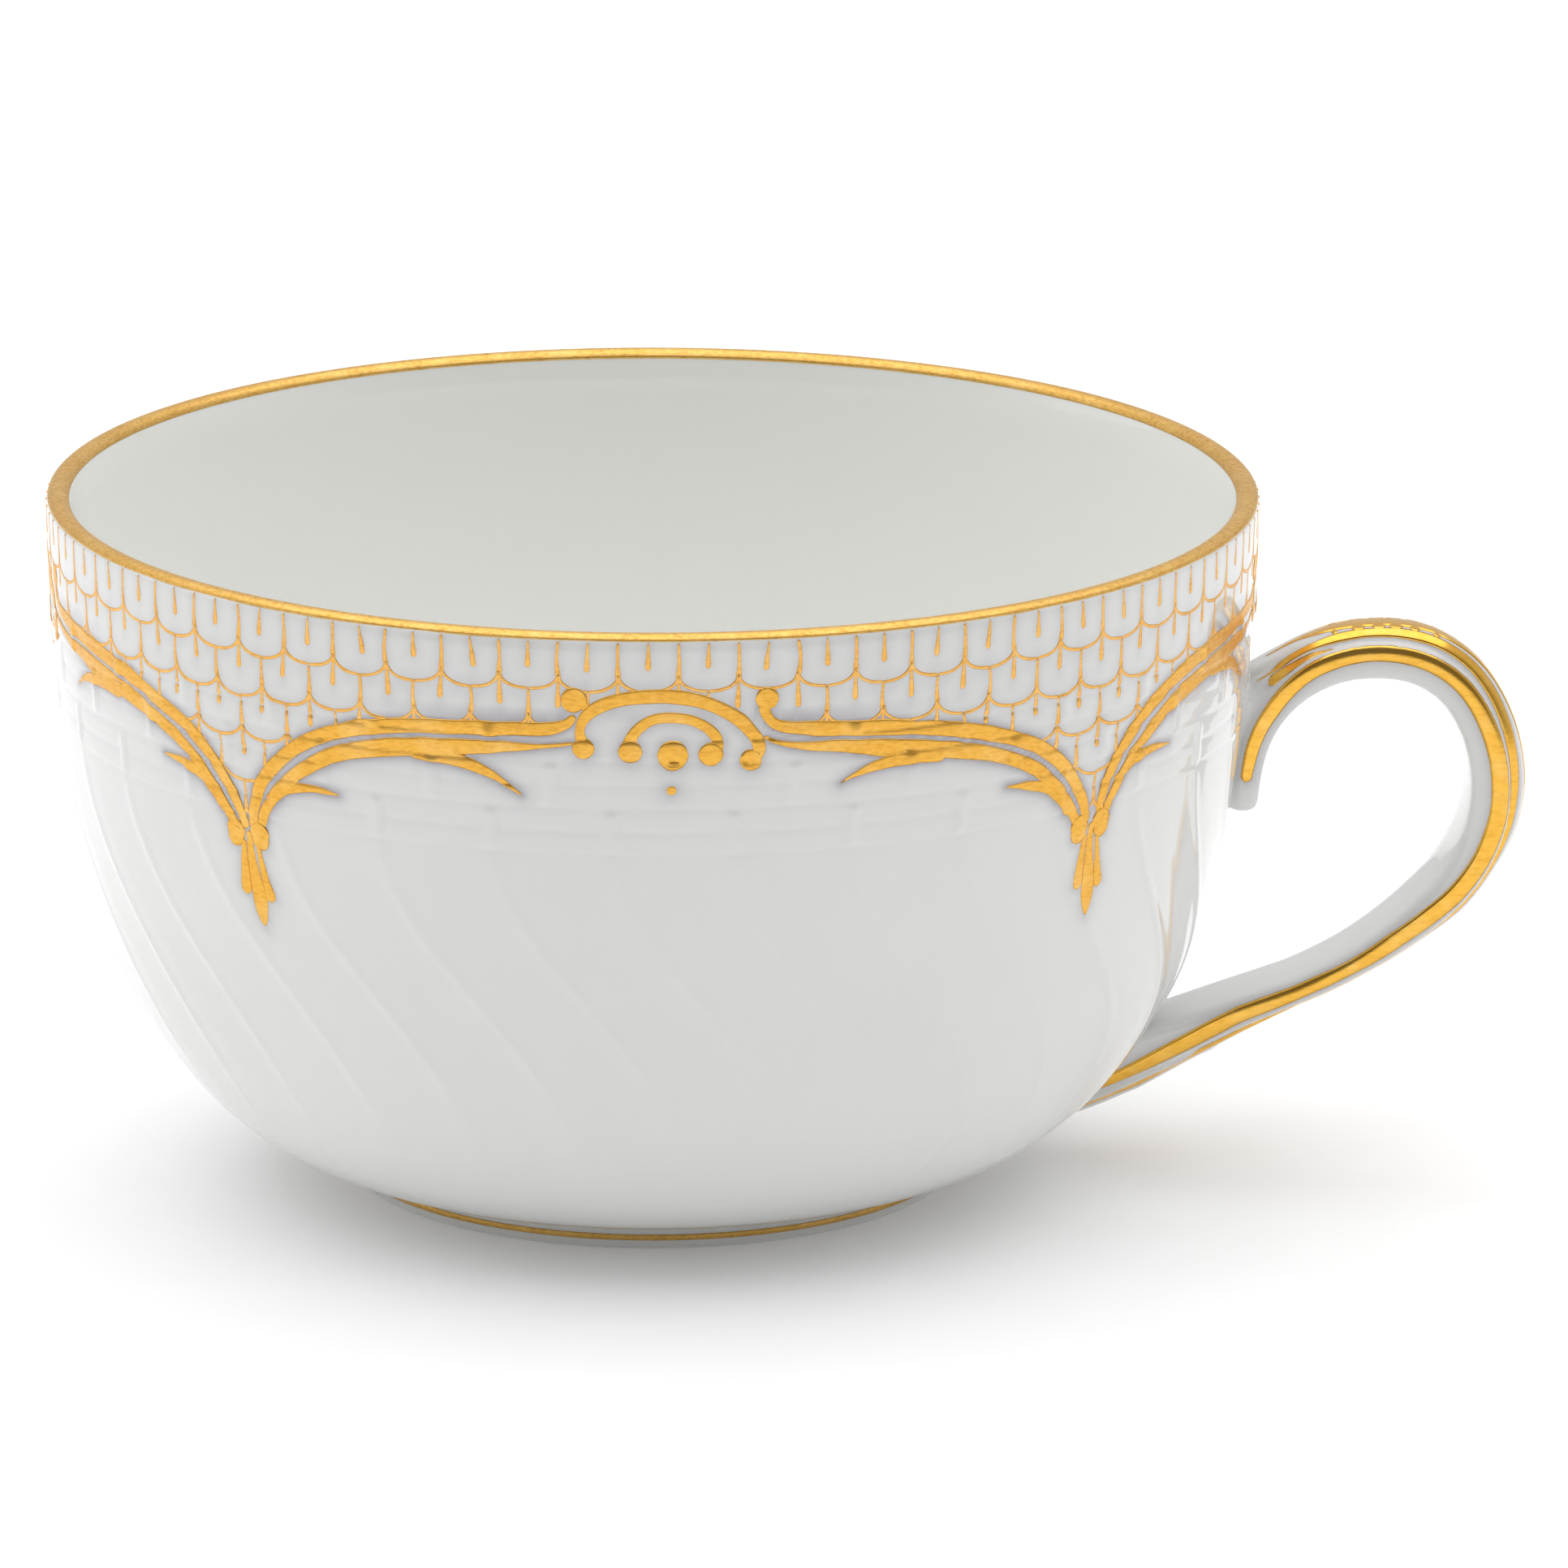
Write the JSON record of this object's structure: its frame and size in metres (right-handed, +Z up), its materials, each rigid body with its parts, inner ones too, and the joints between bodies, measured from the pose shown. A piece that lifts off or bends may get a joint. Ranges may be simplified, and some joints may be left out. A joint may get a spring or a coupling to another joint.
{
  "type": "teacup",
  "caption": "Wide low porcelain teacup with a looped strap handle, a low foot ring, and gilt rim, handle lines and garland border.",
  "frame": {"origin": "centre of the foot ring, level with the surface the cup stands on", "axes": "+Z up along the cup's axis, +X towards the handle, -Y towards the middle of the front garland"},
  "size_m": [0.1227, 0.1004, 0.0584],
  "materials": {
    "porcelain": "white porcelain under a clear gloss glaze",
    "gilding": "hand-painted burnished gold, satin with brush marks"
  },
  "bodies": {
    "root": {"bowl": "porcelain", "foot_ring": "porcelain", "handle": "porcelain", "rim_band": "gilding", "foot_band": "gilding", "handle_front_line": "gilding", "handle_spine_line": "gilding", "handle_back_line": "gilding", "garland_front": "gilding", "crest_front": "gilding", "garland_handle_side": "gilding", "crest_handle_side": "gilding", "garland_back": "gilding", "crest_back": "gilding", "garland_left_side": "gilding", "crest_left_side": "gilding", "tassel_front_right": "gilding", "tassel_back_right": "gilding", "tassel_back_left": "gilding", "tassel_front_left": "gilding"}
  },
  "joints": []
}
